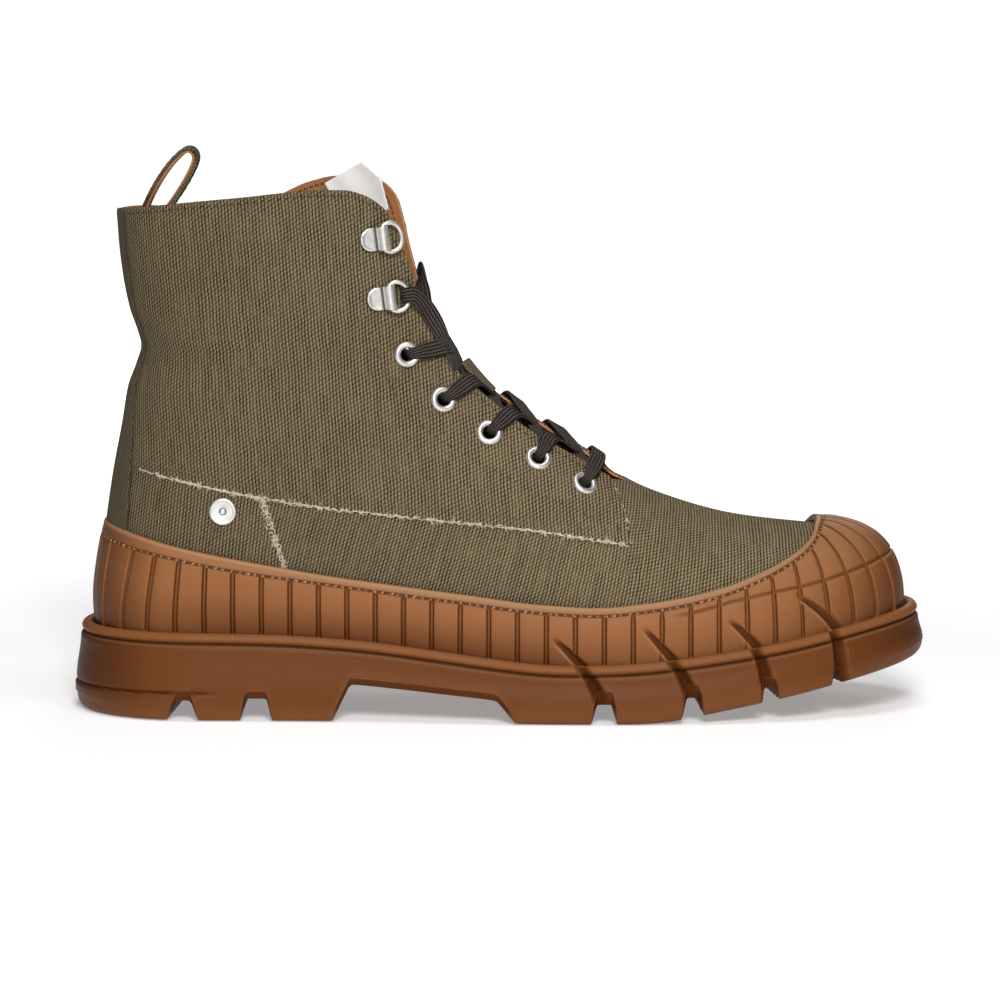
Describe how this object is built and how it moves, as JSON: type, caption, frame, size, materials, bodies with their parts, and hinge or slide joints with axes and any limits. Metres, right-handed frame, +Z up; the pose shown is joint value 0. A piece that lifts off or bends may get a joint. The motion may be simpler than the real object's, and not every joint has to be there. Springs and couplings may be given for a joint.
{
  "type": "lace-up boot",
  "caption": "Ankle-high lace-up boot with a canvas upper, a ribbed rubber shell with toe cap, and a lugged rubber sole with heel and toe spring.",
  "frame": {"origin": "on the ground under the middle of the sole's length and width", "axes": "+X toward the toe, +Y toward the inner (medial) side, +Z up"},
  "size_m": [0.3132, 0.1171, 0.2059],
  "materials": {
    "olive_canvas": "coarse olive cotton canvas, plain weave, leather lined",
    "gum_rubber": "satin tan gum rubber, ribbed",
    "sole_rubber": "satin brown gum rubber",
    "tan_leather": "smooth tan leather",
    "nickel": "satin nickel plate",
    "charcoal_lace": "flat braided charcoal lace",
    "white_cotton": "plain white woven tape, no print"
  },
  "bodies": {
    "boot": {"clip_lateral_lower": "nickel", "clip_lateral_upper": "nickel", "clip_medial_lower": "nickel", "clip_medial_upper": "nickel", "eyelet_lateral_1": "nickel", "eyelet_lateral_2": "nickel", "eyelet_lateral_3": "nickel", "eyelet_lateral_4": "nickel", "eyelet_lateral_5": "nickel", "eyelet_medial_1": "nickel", "eyelet_medial_2": "nickel", "eyelet_medial_3": "nickel", "eyelet_medial_4": "nickel", "eyelet_medial_5": "nickel", "heel_rivet": "nickel", "insole": "tan_leather", "lace_bar": "charcoal_lace", "lace_cross_1": "charcoal_lace", "lace_cross_2": "charcoal_lace", "lace_cross_3": "charcoal_lace", "lace_cross_4": "charcoal_lace", "lace_cross_5": "charcoal_lace", "lace_keeper": "olive_canvas", "outsole": "sole_rubber", "pull_loop": "olive_canvas", "ring_lateral_lower": "nickel", "ring_medial_lower": "nickel", "rubber_shell": "gum_rubber", "sewn_label": "white_cotton", "tongue": "olive_canvas", "upper": "olive_canvas"},
    "ring_lateral": {"ring_lateral_upper": "nickel"},
    "ring_medial": {"ring_medial_upper": "nickel"}
  },
  "joints": [
    {"name": "ring_lateral_fold", "type": "hinge", "parent": "boot", "child": "ring_lateral", "pos_m": [-0.04205, -0.0299, 0.17366], "axis": [0.1272, -0.0142, -0.9918], "range_deg": [0, 150]},
    {"name": "ring_medial_fold", "type": "hinge", "parent": "boot", "child": "ring_medial", "pos_m": [-0.04205, 0.0253, 0.17366], "axis": [-0.1272, -0.0142, 0.9918], "range_deg": [0, 150]}
  ]
}
